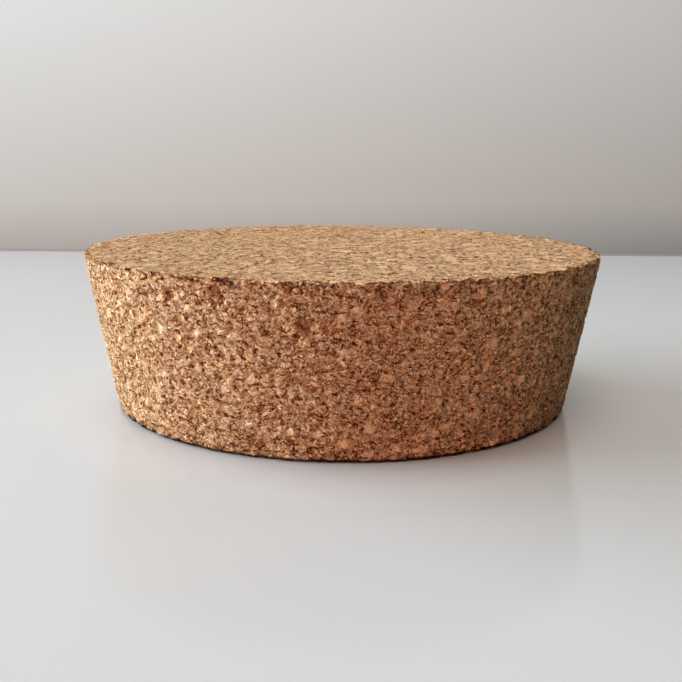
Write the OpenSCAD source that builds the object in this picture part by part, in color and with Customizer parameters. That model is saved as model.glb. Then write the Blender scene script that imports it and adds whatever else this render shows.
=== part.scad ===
// Tapered cork stopper for a wide-mouthed jar, turned in one piece from a block of agglomerated cork.
// Millimetres. The stopper stands on its small end, which is the end that goes into the jar.
// The origin is the centre of the small end, and +Z runs up the axis to the large end.
// Azimuths are in degrees from +X, and -90 is the front.

/* [Body] */
// Diameter of the large end, measured to the sharp corner before its edge is eased
top_d = 100; // [80:1:140]
// Diameter of the small end, measured the same way
bottom_d = 89; // [60:1:120]
// Height between the two sanded faces
height = 30; // [15:1:60]

/* [Edges] */
// Height and width of the bevel that breaks the rim of the large end
rim_bevel = 0.4; // [0.2:0.1:2]
// Radius on the edge of the small end
foot_r = 1; // [0.2:0.1:3]

/* [Lost granules] */
// Cut the pockets that lost granules have left in the rim and the wall
show_pockets = true; // [true, false]
// Mean size of a cork granule, which sizes the pockets
granule = 2; // [1:0.1:3]

/* [Hidden] */
$fn = 180;

top_r = top_d / 2;
bottom_r = bottom_d / 2;
// Angle of the wall from the vertical, positive where the stopper widens upwards
taper = atan((top_r - bottom_r) / height);
// The foot's rounding starts this far from the sharp corner, along the face and along the wall
foot_run = foot_r / tan((90 + taper) / 2);

// Lost granules along the rim, one row each: azimuth, how far the middle lies below the large
// face, size into the wall, along it and up it as shares of the mean granule, and roll
rim_pockets = [
    [-124, 3.4, [0.9, 0.8, 1.1], 20],
    [-117, 1.1, [1.1, 1.5, 0.6], -35],
    [-113, 2.6, [1.2, 1.7, 0.7], -48],
    [-110, 0.5, [1.3, 1.3, 0.9], -30],
    [-104, 0.3, [0.9, 0.8, 0.5], 0],
    [-98, 0.3, [1.2, 1.1, 0.8], 12],
    [-83, 1.8, [1.0, 0.6, 1.3], 25],
    [-73, 1.6, [0.9, 0.7, 1.2], -20],
    [-54, 0.7, [1.1, 1.2, 0.8], -15],
    [-38, 2.3, [1.0, 0.8, 0.9], 40],
];

// Lost granules lower on the wall, the same but for the second value: the height of the middle
// as a share of the stopper's height
wall_pockets = [
    [-97, 0.77, [1.1, 0.9, 1.8], 8],
    [-95, 0.42, [0.9, 2.1, 0.5], 4],
    [-87, 0.41, [0.9, 1.9, 0.5], -5],
];

// Radius of the wall at a height above the small face
function wall_r(z) = bottom_r + z * tan(taper);

// Half of the section: the rim is bevelled, and the foot is cut back to where its rounding starts
module section_core() {
    polygon([
        [0, 0],
        [bottom_r - foot_run, 0],
        [bottom_r + foot_run * sin(taper), foot_run * cos(taper)],
        [wall_r(height - rim_bevel), height - rim_bevel],
        [top_r - rim_bevel, height],
        [0, height],
    ]);
}

// Half of the section with the foot's true arc, tangent to the small face and to the wall
module section() {
    section_core();
    translate([bottom_r - foot_run, foot_r]) circle(r = foot_r);
}

// A granule is a block with its corners knocked off by a second block, turned against the first
module granule_block(size) {
    intersection() {
        cube(size, center = true);
        rotate([38, 27, 44]) cube(1.1 * size, center = true);
    }
}

// A pocket straddles the wall and is square to it, so half of the granule is the pocket's depth
module pocket(azimuth, z, shares, roll) {
    rotate([0, 0, azimuth])
        translate([wall_r(z), 0, z])
            rotate([roll, taper, 0])
                granule_block(granule * shares);
}

module pockets() {
    for (p = rim_pockets) pocket(p[0], height - p[1], p[2], p[3]);
    for (p = wall_pockets) pocket(p[0], height * p[1], p[2], p[3]);
}

module stopper() {
    color("burlywood") difference() {
        rotate_extrude() section();
        if (show_pockets) pockets();
    }
}

stopper();
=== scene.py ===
"""Looks of a tapered cork stopper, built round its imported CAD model. Metres, in the model's frame.

The camera, the backdrop and the lamps come first. The cork is a dense skin revolved from the CAD
solid's own section, sunk where the solid has pockets, and roughened by the same field of granules
that its material is painted with, so that cracks and colours fall in the same places.
"""

import math

import bmesh
import bpy
import numpy as np
from mathutils import Euler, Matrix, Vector
from mathutils.bvhtree import BVHTree


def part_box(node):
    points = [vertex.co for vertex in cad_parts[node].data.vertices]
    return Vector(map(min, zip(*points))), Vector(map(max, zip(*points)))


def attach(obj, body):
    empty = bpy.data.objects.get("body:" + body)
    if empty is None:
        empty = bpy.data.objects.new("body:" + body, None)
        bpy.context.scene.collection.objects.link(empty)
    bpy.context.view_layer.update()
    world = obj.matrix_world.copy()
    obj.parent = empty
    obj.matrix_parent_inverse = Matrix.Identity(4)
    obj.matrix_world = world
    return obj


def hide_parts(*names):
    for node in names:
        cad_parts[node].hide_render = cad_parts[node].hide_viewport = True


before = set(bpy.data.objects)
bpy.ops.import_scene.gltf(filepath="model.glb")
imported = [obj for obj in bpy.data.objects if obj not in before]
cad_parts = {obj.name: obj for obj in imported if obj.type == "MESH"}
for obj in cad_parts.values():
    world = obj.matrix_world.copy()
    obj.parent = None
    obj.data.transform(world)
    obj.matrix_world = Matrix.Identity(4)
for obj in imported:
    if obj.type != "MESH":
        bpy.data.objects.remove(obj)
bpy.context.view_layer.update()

MM = 0.001
NODE = "stopper"
BODY = "root"
SLOT = "cork"
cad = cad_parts[NODE]
low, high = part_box(NODE)


# ---------------------------------------------------------------- camera, backdrop and lamps

TABLE_FRONT, WALL_AT, HALF_WIDTH, WALL_TOP = -2.4, 0.248, 2.4, 1.0
TABLE_GLOSS, TABLE_ROUGHNESS = 0.35, 0.15
WALL_GLOSS, WALL_ROUGHNESS = 0.0, 0.9
GRADIENT_TOP = 0.12                 # how far up the wall its colour goes on changing
BACKDROP_COLOURS = [                # the table's, and the wall's at shares of that height, with painted shade low on the wall
    (0.0, (0.378, 0.367, 0.379)),
    (0.01, (0.35, 0.38, 0.38)),
    (0.2, (0.467, 0.53, 0.53)),
    (1.0, (0.635, 0.765, 0.82)),
]
WALL_FAR_COLOUR = (0.68, 0.70, 0.70)


def add_camera():
    """A short lens close to the stopper, looking down on it a little, as by eye at a table."""
    data = bpy.data.cameras.new("camera")
    data.sensor_width = 36
    data.lens = 48.6
    data.clip_start = 0.005
    camera = bpy.data.objects.new("camera", data)
    camera.location = (-0.14 * MM, -183.7 * MM, 49.5 * MM)
    pitch_down, roll = math.radians(11.96), math.radians(0.477)
    look = Euler((math.pi / 2 - pitch_down, 0, 0)).to_matrix()
    turn = Euler((0, 0, roll)).to_matrix()
    camera.rotation_euler = (look @ turn).to_euler()
    bpy.context.scene.collection.objects.link(camera)
    bpy.context.scene.camera = camera


def add_backdrop():
    """A wide table top with a wall just behind the stopper, which doesn't shade the window."""
    left, right = -HALF_WIDTH, HALF_WIDTH
    table = add_sheet("table", [(left, TABLE_FRONT, 0), (right, TABLE_FRONT, 0),
                                (right, WALL_AT, 0), (left, WALL_AT, 0)])
    wall = add_sheet("wall", [(left, WALL_AT, 0), (right, WALL_AT, 0),
                              (right, WALL_AT, WALL_TOP), (left, WALL_AT, WALL_TOP)])
    wall.visible_shadow = False
    table.data.materials.append(backdrop_material("table", TABLE_GLOSS, TABLE_ROUGHNESS))
    wall.data.materials.append(backdrop_material("wall", WALL_GLOSS, WALL_ROUGHNESS))


def add_sheet(name, corners):
    data = bpy.data.meshes.new(name)
    data.from_pydata(corners, [], [(0, 1, 2, 3)])
    sheet = bpy.data.objects.new(name, data)
    bpy.context.scene.collection.objects.link(sheet)
    return sheet


def backdrop_material(name, gloss, roughness):
    """One field of colour for the pale table and for the wall, with painted light and shade: the wall
    darker just above the table, and both lighter or darker across as the lamps fall off.
    """
    material, shader, n = new_material(name)
    place = n.add("ShaderNodeTexCoord").outputs["Object"]
    x, y, z = n.parts(place)
    upright = n.math("GREATER_THAN", z, MM)

    # Painted light: the wall is lighter towards the window, as its light falls off, and a plain grey far
    # from the stopper
    colour = n.colour_ramp(n.math("DIVIDE", z, GRADIENT_TOP), BACKDROP_COLOURS)
    beyond = n.ramp(n.math("ABSOLUTE", x), 0.2, 0.7)
    colour = n.choose(n.math("MULTIPLY", beyond, upright), colour, WALL_FAR_COLOUR)
    wall_painted_light = n.ramp(x, -0.5, 0.5, 1.45, 0.60)

    # Painted light: the table is paler round the foot, to lift the shade that the overhang casts there,
    # and a little lighter towards the wall and darker to the right
    table_painted_light = n.math("MULTIPLY", n.ramp(y, 0.0, 0.24, 1.0, 1.03),
                        n.ramp(x, -0.15, 0.15, 1.02, 0.985, smooth=False))
    foot_painted_light = n.ramp(n.measure("LENGTH", place), 44 * MM, 66 * MM, 1.22, 1.0)
    table_painted_light = n.math("MULTIPLY", table_painted_light, foot_painted_light)

    fade = n.math("ADD", n.math("MULTIPLY", wall_painted_light, upright),
                  n.math("MULTIPLY", table_painted_light, n.math("SUBTRACT", 1.0, upright)))
    # Painted shade: both are darker close to the window, where its light is much stronger
    fade = n.math("MULTIPLY", fade, n.ramp(x, -1.6, -0.25, 0.35, 1.0, smooth=False))
    n.feed(shader.inputs["Base Color"], n.scale_by(colour, fade))
    shader.inputs["Roughness"].default_value = roughness
    shader.inputs["Specular IOR Level"].default_value = gloss
    return material


def add_lamp(name, place, width, tall, watts, colour, spread=180):
    """A soft box aimed at the middle of the stopper."""
    data = bpy.data.lights.new(name, "AREA")
    data.shape = "RECTANGLE"
    data.size, data.size_y = width, tall
    data.energy = watts
    data.color = colour
    data.spread = math.radians(spread)
    lamp = bpy.data.objects.new(name, data)
    lamp.location = place
    aim = Vector((0, 0, high.z / 2)) - lamp.location
    lamp.rotation_euler = aim.to_track_quat("-Z", "Y").to_euler()
    lamp.visible_camera = False
    lamp.visible_glossy = False
    bpy.context.scene.collection.objects.link(lamp)


def add_light():
    """A window to the left and a little behind, a weak ceiling, and a warm glow from the room."""
    add_lamp("window", place=(-4.84, 1.20, 1.30), width=6.0, tall=2.2, watts=1040.0,
             colour=(0.80, 1.0, 1.09))
    add_lamp("ceiling", place=(0.0, -0.1, 1.4), width=1.2, tall=1.2, watts=20.5,
             colour=(1.0, 1.0, 0.88))
    add_lamp("room", place=(-0.58, -0.93, 0.15), width=0.5, tall=0.2, watts=0.28,
             colour=(2.42, 1.0, 0.70), spread=50)
    world = bpy.data.worlds.new("world")
    world.use_nodes = True
    n = Nodes(world.node_tree)
    sky = world.node_tree.nodes["Background"]
    sky.inputs["Color"].default_value = (2.4, 1.0, 0.45, 1)
    sky.inputs["Strength"].default_value = 0.042
    pale = n.add("ShaderNodeBackground", {"Color": (0.60, 0.60, 0.60, 1), "Strength": 1.0})
    ray = n.add("ShaderNodeLightPath").outputs
    seen = n.math("MAXIMUM", ray["Is Camera Ray"], ray["Is Glossy Ray"])
    seen = n.math("MAXIMUM", seen, ray["Is Transmission Ray"])
    mixed = n.add("ShaderNodeMixShader", {0: seen, 1: sky.outputs[0], 2: pale.outputs[0]})
    n.feed(world.node_tree.nodes["World Output"].inputs["Surface"], mixed.outputs[0])
    bpy.context.scene.world = world


# ---------------------------------------------------------------- node helpers

class Nodes:
    """Short names for the nodes that a shader tree and a geometry tree have in common."""

    def __init__(self, tree):
        self.tree = tree

    def add(self, kind, inputs=(), **settings):
        node = self.tree.nodes.new(kind)
        for key, value in settings.items():
            setattr(node, key, value)
        for key, value in dict(inputs).items():
            self.feed(node.inputs[key], value)
        return node

    def feed(self, socket, value):
        if isinstance(value, bpy.types.NodeSocket):
            self.tree.links.new(value, socket)
        else:
            socket.default_value = value

    def math(self, operation, *values):
        return self.add("ShaderNodeMath", enumerate(values), operation=operation).outputs[0]

    def vector(self, operation, *values):
        return self.add("ShaderNodeVectorMath", enumerate(values), operation=operation).outputs[0]

    def measure(self, operation, *values):
        """A number from one or two vectors: a length or a dot product."""
        node = self.add("ShaderNodeVectorMath", enumerate(values), operation=operation)
        return node.outputs["Value"]

    def scale(self, vector, factor):
        """A vector times a fixed number."""
        return self.vector("MULTIPLY", vector, (factor, factor, factor))

    def scale_by(self, vector, factor):
        """A vector times a number that changes from place to place."""
        node = self.add("ShaderNodeVectorMath", {0: vector, 3: factor}, operation="SCALE")
        return node.outputs[0]

    def ramp(self, value, from_low, from_high, to_low=0.0, to_high=1.0, smooth=True):
        kind = "SMOOTHSTEP" if smooth else "LINEAR"
        node = self.add("ShaderNodeMapRange", {"Value": value, "From Min": from_low,
                                               "From Max": from_high, "To Min": to_low,
                                               "To Max": to_high}, interpolation_type=kind)
        return node.outputs["Result"]

    def noise(self, place, per_mm, detail, roughness):
        return self.add("ShaderNodeTexNoise", {"Vector": place, "Scale": per_mm, "Detail": detail,
                                               "Roughness": roughness}, noise_dimensions="3D")

    def patches(self, place, per_mm, detail, roughness, start, full, to_low=0.0, to_high=1.0):
        """Soft patches where a noise is high: they begin at start, and from full on are whole."""
        noise = self.noise(place, per_mm, detail, roughness).outputs[0]
        return self.ramp(noise, start, full, to_low, to_high)

    def cells(self, place, size_mm):
        """Cells of a mean size, each with a random colour and its centre as the position."""
        return self.add("ShaderNodeTexVoronoi", {"Vector": place, "Scale": 1 / size_mm},
                        voronoi_dimensions="3D", feature="F1").outputs

    def cell_gap(self, place, size_mm):
        """How far the nearest edge of such a cell is, in mm."""
        node = self.add("ShaderNodeTexVoronoi", {"Vector": place, "Scale": 1 / size_mm},
                        voronoi_dimensions="3D", feature="DISTANCE_TO_EDGE")
        return self.math("MULTIPLY", node.outputs["Distance"], size_mm)

    def parts(self, vector):
        return self.add("ShaderNodeSeparateXYZ", {"Vector": vector}).outputs

    def choose(self, factor, a, b):
        """Vector a where the factor is 0, and b where it is 1."""
        node = self.add("ShaderNodeMix", {0: factor, 4: a, 5: b}, data_type="VECTOR")
        return node.outputs[1]

    def tint(self, factor, under, colour):
        """A colour laid over another one, as far as the factor says."""
        node = self.add("ShaderNodeMix", {0: factor, 6: under, 7: (*colour, 1)}, data_type="RGBA")
        return node.outputs[2]

    def colour_ramp(self, factor, stops):
        ramp = self.add("ShaderNodeValToRGB", {"Fac": factor})
        elements = ramp.color_ramp.elements
        for element, (at, colour) in zip(elements, (stops[0], stops[-1])):
            element.position, element.color = at, (*colour, 1)
        for at, colour in stops[1:-1]:
            elements.new(at).color = (*colour, 1)
        return ramp.outputs["Color"]


def new_material(name):
    material = bpy.data.materials.new(name)
    material.use_nodes = True
    return material, material.node_tree.nodes["Principled BSDF"], Nodes(material.node_tree)


# ---------------------------------------------------------------- the field of granules

SQUASH = 1.5                        # granules are this much flatter along the press, the Z axis
BIG, MID, SMALL = 2.1, 0.9, 0.45    # mean granule sizes in mm
BIG_SHARE, MID_SHARE = 0.18, 0.50   # share of cells that stay whole at each size
PORE_SHARE = 0.06                   # share of the small cells that have come away
WANDER = 1.5                        # how far, in mm, a noise pushes the granules' edges about
CRACK_WIDTH, SEAM_WIDTH = 0.125, 0.09   # mm, of the widest cracks and of the long level seams
CLOSED = 0.001                      # mm, the width of a crack where there is none
NO_GAP = 9.0                        # mm, further than any gap: hides the edges inside a granule
CHIP = 0.28                         # mm, the thickness of the plates of cork inside a granule
CHIP_STRETCH = (0.20, 0.30, 1)      # a plate is longer and wider than thick by one over these
CALM_MID = 0.65                     # how smooth a smooth granule of the middle size is


def granules(n, place):
    """Cork granules of three nested sizes round a point in metres.

    Returns the point in the granules' own mm, and numbers for it. From 0 to 1: whether the
    granule is big, how calm or smooth it is, its random tone and its random lift, how far inside
    a crack the point is, whether it is in a lost granule's pore, and the tone of the plate of
    cork inside the granule, which lies its own way in each. In mm: the tilt of the granule's
    leaning face and of the plate's, and the distance to the plate's edge.
    """
    at = n.scale(place, 1 / MM)
    wobble = n.noise(at, 0.8, detail=4.0, roughness=0.7).outputs["Color"]
    wobble = n.vector("SUBTRACT", wobble, (0.5, 0.5, 0.5))
    at = n.vector("ADD", at, n.scale(wobble, WANDER))
    at = n.vector("MULTIPLY", at, (1, 1, SQUASH))

    cells = [n.cells(at, size) for size in (BIG, MID, SMALL)]
    gaps = [n.cell_gap(at, size) for size in (BIG, MID, SMALL)]
    big = n.math("LESS_THAN", n.parts(cells[0]["Color"])[0], BIG_SHARE)
    mid = n.math("LESS_THAN", n.parts(cells[1]["Color"])[0], MID_SHARE)
    whole = n.math("MAXIMUM", big, mid)
    own, centre = [n.choose(big, n.choose(mid, cells[2][key], cells[1][key]), cells[0][key])
                   for key in ("Color", "Position")]
    tilt = n.measure("DOT_PRODUCT", n.vector("SUBTRACT", at, centre), lean(n, own))

    gap = n.math("MINIMUM", gaps[0], n.math("ADD", gaps[1], n.math("MULTIPLY", big, NO_GAP)))
    gap = n.math("MINIMUM", gap, n.math("ADD", gaps[2], n.math("MULTIPLY", whole, NO_GAP)))
    width = n.patches(at, 1.1, 2.0, 0.6, start=0.51, full=0.70, to_low=CLOSED, to_high=CRACK_WIDTH)
    flat = n.vector("MULTIPLY", at, (1, 1, 2.0))
    seam = n.patches(flat, 0.30, 2.0, 0.6, start=0.60, full=0.72, to_low=CLOSED, to_high=SEAM_WIDTH)
    crack = n.ramp(n.math("DIVIDE", gap, n.math("MAXIMUM", width, seam)), 0.3, 1, 1, 0)

    lost = n.math("LESS_THAN", n.parts(cells[2]["Color"])[0], PORE_SHARE)
    pore = n.math("MULTIPLY", lost, n.math("SUBTRACT", 1.0, whole))
    pore = n.math("MULTIPLY", pore, n.ramp(gaps[2], 0.02, 0.10))

    turned = n.add("ShaderNodeVectorRotate", {"Vector": at, "Rotation": n.scale(own, 6.28)},
                   rotation_type="EULER_XYZ").outputs[0]
    drawn = n.vector("MULTIPLY", turned, CHIP_STRETCH)
    chip = n.cells(drawn, CHIP)
    chip_tilt = n.measure("DOT_PRODUCT", n.vector("SUBTRACT", drawn, chip["Position"]),
                          lean(n, chip["Color"]))

    own_parts = n.parts(own)
    tone, lift = own_parts[1], own_parts[2]
    calm = n.math("MULTIPLY", n.ramp(tone, 0.10, 0.45),
                  n.math("MAXIMUM", big, n.math("MULTIPLY", mid, CALM_MID)))
    return {"at": at, "big": big, "calm": calm, "tone": tone, "lift": lift, "tilt": tilt,
            "crack": crack, "pore": pore, "chip": n.parts(chip["Color"])[1],
            "chip_tilt": chip_tilt, "chip_gap": n.cell_gap(drawn, CHIP)}


def lean(n, colour):
    """A random slope, from -1 to 1 each way, out of a cell's random colour."""
    return n.scale(n.vector("SUBTRACT", colour, (0.5, 0.5, 0.5)), 2.0)


# ---------------------------------------------------------------- the skin

SPACING_WALL, SPACING_TOP, SPACING_BASE = 0.38 * MM, 0.62 * MM, 1.6 * MM
TOUCH = 1e-6                        # metres within which a point is on the top or the base

# Depths of the relief below the CAD solid's surface, in mm
DEPTH, LIFT_DEPTH, CRACK_DEPTH, TILT_DEPTH, PORE_DEPTH = 0.14, 0.12, 0.12, 0.42, 0.25
FOOT_DEPTH, RIM_DEPTH = 0.75, 0.60  # of the ragged patches along the foot and the rim
LEAST_DEPTH = 0.02                  # keeps the wall inside the CAD solid's box
SANDED = 0.35                       # share of the relief that the sanded faces keep


def convex_section(mesh):
    """The outline of a turned solid as (radius, z) points, from the axis at the bottom outwards
    and up to the axis at the top. Pockets lie inside it and leave no mark."""
    points = sorted({(round(math.hypot(v.co.x, v.co.y), 7), round(v.co.z, 7)) for v in mesh.vertices},
                    key=lambda p: (p[1], p[0]))
    outline = [(0.0, points[0][1])]
    for radius, z in points:
        while len(outline) > 1:
            (r0, z0), (r1, z1) = outline[-2:]
            if (r1 - r0) * (z - z0) - (z1 - z0) * (radius - r0) > 0:
                break
            outline.pop()
        if (radius, z) != outline[-1]:
            outline.append((radius, z))
    outline.append((0.0, points[-1][1]))
    return outline


def spacing_at(z):
    if z > high.z - TOUCH:
        return SPACING_TOP
    if z < low.z + TOUCH:
        return SPACING_BASE
    return SPACING_WALL


def along(outline):
    """Points along an outline, close together, with every corner of the outline kept."""
    out = [outline[0]]
    for (r0, z0), (r1, z1) in zip(outline, outline[1:]):
        length = math.hypot(r1 - r0, z1 - z0)
        count = max(1, round(length / spacing_at((z0 + z1) / 2)))
        out += [(r0 + (r1 - r0) * i / count, z0 + (z1 - z0) * i / count) for i in range(1, count + 1)]
    return out


def ring_count(radius, z):
    """How many points a ring has: even triangles, and the same number all the way up the wall."""
    on_wall = low.z + TOUCH < z < high.z - TOUCH
    side = spacing_at(z) * 2 / math.sqrt(3)
    return max(1, round(2 * math.pi * (high.x if on_wall else radius) / side))


def zip_rings(a, b, first_a, first_b, turn_a, turn_b):
    """Triangles between closed rings of a and b points, which start at turn_a and turn_b of a circle."""
    if a == 1:
        return [(first_a, first_b + j, first_b + (j + 1) % b) for j in range(b)]
    if b == 1:
        return [(first_a + i, first_b, first_a + (i + 1) % a) for i in range(a)]
    faces, i, j = [], 0, 0
    while i < a or j < b:
        next_a, next_b = turn_a + (i + 1) / a, turn_b + (j + 1) / b
        if j == b or (i < a and next_a <= next_b):
            faces.append((first_a + i % a, first_b + j % b, first_a + (i + 1) % a))
            i += 1
        else:
            faces.append((first_a + i % a, first_b + j % b, first_b + (j + 1) % b))
            j += 1
    return faces


def revolve(outline):
    """A closed skin of small even triangles, and the outward normal of the section at each point."""
    section = along(outline)
    counts = [ring_count(radius, z) for radius, z in section]
    places, normals, faces, firsts, turns = [], [], [], [], []
    for k, ((radius, z), count) in enumerate(zip(section, counts)):
        turn = 0.5 / count * (k % 2)
        before, after = section[max(k - 1, 0)], section[min(k + 1, len(section) - 1)]
        out, up = after[1] - before[1], before[0] - after[0]
        size = math.hypot(out, up)
        firsts.append(len(places))
        turns.append(turn)
        for i in range(count):
            angle = 2 * math.pi * (turn + i / count)
            across = (math.cos(angle), math.sin(angle))
            places.append((radius * across[0], radius * across[1], z))
            normals.append((out / size * across[0], out / size * across[1], up / size))
    for k in range(len(section) - 1):
        faces += zip_rings(counts[k], counts[k + 1], firsts[k], firsts[k + 1], turns[k], turns[k + 1])
    return places, normals, faces


def pocket_depths(places, normals):
    """How far the CAD solid lies below each point of the skin: more than nothing in its pockets."""
    mesh = bmesh.new()
    mesh.from_mesh(cad.data)
    tree = BVHTree.FromBMesh(mesh)
    mesh.free()
    slack, reach, start = 0.08 * MM, 3 * MM, 0.2 * MM
    depths = []
    for place, normal in zip(places, normals):
        place, normal = Vector(place), Vector(normal)
        hit = tree.ray_cast(place + normal * start, -normal, reach)
        depth = hit[3] - start if hit[0] else 0.0
        depths.append(depth if depth > slack else 0.0)
    return depths


def relief_tree():
    """Geometry nodes that sink each point of the skin: cracks, lost granules and uneven ones."""
    tree = bpy.data.node_groups.new("relief", "GeometryNodeTree")
    for way in ("INPUT", "OUTPUT"):
        tree.interface.new_socket("Geometry", in_out=way, socket_type="NodeSocketGeometry")
    n = Nodes(tree)
    start, end = n.add("NodeGroupInput"), n.add("NodeGroupOutput")
    place = n.add("GeometryNodeInputPosition").outputs[0]
    normal, pocket = [n.add("GeometryNodeInputNamedAttribute", {"Name": name}, data_type=kind).outputs[0]
                      for name, kind in (("outward", "FLOAT_VECTOR"), ("pocket", "FLOAT"))]
    g = granules(n, place)
    level = n.math("ABSOLUTE", n.parts(normal)[2])
    z = n.parts(place)[2]
    radius = n.measure("LENGTH", n.vector("MULTIPLY", place, (1, 1, 0)))

    rough = n.math("MULTIPLY_ADD", g["lift"], LIFT_DEPTH, DEPTH)
    rough = n.math("MULTIPLY_ADD", g["crack"], CRACK_DEPTH, rough)
    rough = n.math("MULTIPLY_ADD", g["tilt"], TILT_DEPTH, rough)
    rough = n.math("MULTIPLY", rough, n.ramp(level, 0.6, 0.95, 1.0, SANDED))
    rough = n.math("MAXIMUM", rough, n.ramp(level, 0.6, 0.95, LEAST_DEPTH, 0.0))
    rough = n.math("MULTIPLY_ADD", g["pore"], PORE_DEPTH, rough)

    ragged = n.patches(g["at"], 0.45, 3.0, 0.65, start=0.45, full=0.58)
    foot = n.math("MULTIPLY", n.ramp(z, low.z + 0.3 * MM, low.z + 1.8 * MM, FOOT_DEPTH, 0.0),
                  n.ramp(level, 0.75, 1.0, 1.0, 0.0))
    rim = n.math("MULTIPLY", n.ramp(z, high.z - 1.3 * MM, high.z - 0.2 * MM, 0.0, RIM_DEPTH),
                 n.ramp(radius, high.x - 1.9 * MM, high.x - 0.5 * MM))
    rough = n.math("MULTIPLY_ADD", ragged, n.math("MAXIMUM", foot, rim), rough)

    depth = n.math("MAXIMUM", n.math("MULTIPLY", rough, MM), pocket)
    inward = n.scale_by(normal, n.math("MULTIPLY", depth, -1.0))
    moved = n.add("GeometryNodeSetPosition", {"Geometry": start.outputs[0], "Offset": inward})
    n.feed(end.inputs[0], moved.outputs[0])
    return tree


def build_skin():
    places, normals, faces = revolve(convex_section(cad.data))
    data = bpy.data.meshes.new("cork_stopper")
    data.from_pydata(places, [], faces)
    outward = data.attributes.new("outward", "FLOAT_VECTOR", "POINT")
    outward.data.foreach_set("vector", np.array(normals, np.float32).ravel())
    pocket = data.attributes.new("pocket", "FLOAT", "POINT")
    pocket.data.foreach_set("value", np.array(pocket_depths(places, normals), np.float32))
    skin = bpy.data.objects.new("cork_stopper", data)
    bpy.context.scene.collection.objects.link(skin)
    skin.modifiers.new("relief", "NODES").node_group = relief_tree()
    bpy.context.view_layer.update()
    shaped = bpy.data.meshes.new_from_object(skin.evaluated_get(bpy.context.evaluated_depsgraph_get()))
    skin.modifiers.clear()
    skin.data = shaped
    shaped.attributes.remove(shaped.attributes["outward"])
    shaped.shade_smooth()
    return skin


# ---------------------------------------------------------------- the cork's material

CORK_COLOURS = [                    # from tone 0 to tone 1
    (0.0, (0.125, 0.019, 0.001)),
    (0.25, (0.276, 0.095, 0.027)),
    (0.5, (0.463, 0.223, 0.088)),
    (0.75, (0.632, 0.393, 0.208)),
    (1.0, (0.81, 0.615, 0.40)),
]
# A grey film on the sanded face: partly sanding dust, partly painted sheen that pales it
DUST_AND_SHEEN_COLOUR = (0.338, 0.256, 0.184)
# Painted shade in the cracks, the lost granules' pores and the CAD pockets
HOLLOW_SHADE_COLOUR = (0.13, 0.014, 0.001)
# Painted contact shadow along the foot, nearly black
FOOT_SHADOW_COLOUR = (0.02, 0.010, 0.006)
DUST_AND_SHEEN, POCKET_PAINTED_SHADE, FOOT_PAINTED_SHADOW = 0.40, 0.38, 0.95   # how far such a colour covers the cork

WALL_TONE = 0.765
TOP_PAINTED_SHADE, TOP_CONTRAST = 0.19, 0.90     # the sanded face is painted lower in tone, as shade against the stronger light on it, and is more even
GRANULE_TONE, BIG_TONE = 0.12, 0.1      # spread of tone between granules, and more in big ones
CHIP_TONE, CRUMB_TONE = 0.72, 0.20      # spread between plates, and between crumbs
CALMING, CALMING_OUTLINE = 0.9, 0.7     # what a smooth granule loses of its plates and outlines
OUTLINE_WIDTH, OUTLINE_TONE = 0.055, 0.58   # mm, and drop in tone, of the plates' dark edges
PALE_TONE, DARK_TONE = 0.24, 0.35       # rise and drop in tone of the winding lines

# Bump in mm. The first two have a value on the sanded face, and how much more the wall has
GRANULE_BUMP, CHIP_BUMP = (0.10, 0.32), (0.15, 1.35)
CRUMB_BUMP, PALE_BUMP, DARK_BUMP, HOLLOW_BUMP = 0.04, 0.06, 0.08, 0.15


def winding_lines(n, place, per_mm, start, full):
    """Thin lines where a noise crosses its middle: 1 on the line and 0 away from it, in patches."""
    noise = n.noise(place, per_mm, detail=1.5, roughness=0.6).outputs[0]
    line = n.ramp(n.math("ABSOLUTE", n.math("SUBTRACT", noise, 0.5)), 0.015, 0.08, 1, 0)
    return n.math("MULTIPLY", line, n.patches(place, 0.8, 1.0, 0.5, start, full))


def cork_tone(n, g, wall, crumb, pale_line, dark_line):
    """The cork's tone, from dark at 0 to pale at 1."""
    granule_spread = n.math("MULTIPLY_ADD", g["big"], BIG_TONE, GRANULE_TONE)
    chip_spread = n.math("MULTIPLY_ADD", g["calm"], -CALMING * CHIP_TONE, CHIP_TONE)
    tone = 0.0
    for value, spread in ((g["tone"], granule_spread), (g["chip"], chip_spread), (crumb, CRUMB_TONE)):
        tone = n.math("MULTIPLY_ADD", n.math("SUBTRACT", value, 0.5), spread, tone)
    tone = n.math("MULTIPLY_ADD", pale_line, PALE_TONE, tone)

    contrast = n.math("MULTIPLY_ADD", wall, 1 - TOP_CONTRAST, TOP_CONTRAST)
    # Painted shade: the sanded face is lower in tone, against the stronger light on it
    mean = n.math("MULTIPLY_ADD", wall, TOP_PAINTED_SHADE, WALL_TONE - TOP_PAINTED_SHADE)
    tone = n.math("MULTIPLY_ADD", tone, contrast, mean)
    tone = n.math("MULTIPLY_ADD", dark_line, -DARK_TONE, tone)

    outline = n.math("MULTIPLY", n.ramp(g["chip_gap"], 0.0, OUTLINE_WIDTH, 1.0, 0.0),
                     n.patches(g["at"], 0.9, 2.0, 0.6, start=0.38, full=0.58))
    outline_drop = n.math("MULTIPLY_ADD", g["calm"], CALMING_OUTLINE * OUTLINE_TONE, -OUTLINE_TONE)
    return n.math("MULTIPLY_ADD", outline, outline_drop, tone)


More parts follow.
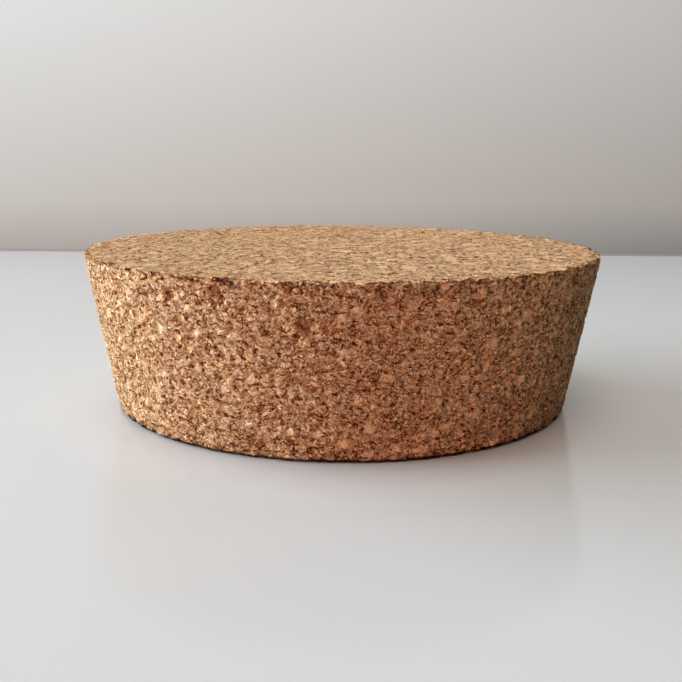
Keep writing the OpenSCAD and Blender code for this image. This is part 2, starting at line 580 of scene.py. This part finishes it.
def cork_material():
    material, shader, n = new_material(SLOT)
    place = n.add("ShaderNodeTexCoord").outputs["Object"]
    z = n.parts(place)[2]
    g = granules(n, place)
    at = g["at"]
    wall = n.ramp(z, high.z - 0.40 * MM, high.z - 0.22 * MM, 1.0, 0.0)
    crumb = n.patches(at, 3.3, 1.0, 0.6, start=0.36, full=0.64)
    dark_line = winding_lines(n, at, 1.3, start=0.56, full=0.63)
    elsewhere = n.vector("ADD", at, (31.0, 7.0, 12.0))
    pale_line = winding_lines(n, elsewhere, 1.6, start=0.50, full=0.58)

    # Painted shade in the hollows: cracks, pores and the deep parts of the CAD pockets
    pocket = n.add("ShaderNodeAttribute", attribute_name="pocket").outputs["Fac"]
    hollow = n.math("MAXIMUM", n.math("MAXIMUM", g["crack"], g["pore"]),
                    n.ramp(pocket, 0.35 * MM, 1.0 * MM, 0.0, POCKET_PAINTED_SHADE))
    # Painted contact shadow in a ragged band along the foot
    ragged = n.math("MULTIPLY_ADD", n.noise(at, 0.5, 3.0, 0.6).outputs[0], 0.9 * MM, -0.45 * MM)
    foot = n.ramp(n.math("ADD", z, ragged), 0.35 * MM, 0.75 * MM, FOOT_PAINTED_SHADOW, 0.0)
    # Sanding dust with painted sheen on the top face
    dust_and_sheen = n.ramp(z, high.z - 0.30 * MM, high.z - 0.15 * MM, 0.0, DUST_AND_SHEEN)
    colour = n.colour_ramp(cork_tone(n, g, wall, crumb, pale_line, dark_line), CORK_COLOURS)
    for factor, over in ((dust_and_sheen, DUST_AND_SHEEN_COLOUR), (hollow, HOLLOW_SHADE_COLOUR), (foot, FOOT_SHADOW_COLOUR)):
        colour = n.tint(factor, colour, over)
    n.feed(shader.inputs["Base Color"], colour)
    shader.inputs["Roughness"].default_value = 1.0
    shader.inputs["Specular IOR Level"].default_value = 0.0

    granule_slope, chip_slope = [n.math("MULTIPLY_ADD", wall, -more_on_wall, -on_top)
                                 for on_top, more_on_wall in (GRANULE_BUMP, CHIP_BUMP)]
    bump = n.math("MULTIPLY_ADD", g["tilt"], granule_slope, n.math("MULTIPLY", g["chip_tilt"], chip_slope))
    for value, rise in ((crumb, CRUMB_BUMP), (pale_line, PALE_BUMP),
                        (dark_line, -DARK_BUMP), (hollow, -HOLLOW_BUMP)):
        bump = n.math("MULTIPLY_ADD", value, rise, bump)
    bumped = n.add("ShaderNodeBump", {"Strength": 1.0, "Distance": MM, "Height": bump})
    n.feed(shader.inputs["Normal"], bumped.outputs["Normal"])
    return material


bpy.context.scene.view_settings.view_transform = "Standard"
add_camera()
add_backdrop()
add_light()
stopper = build_skin()
stopper.data.materials.append(cork_material())
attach(stopper, BODY)
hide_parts(NODE)
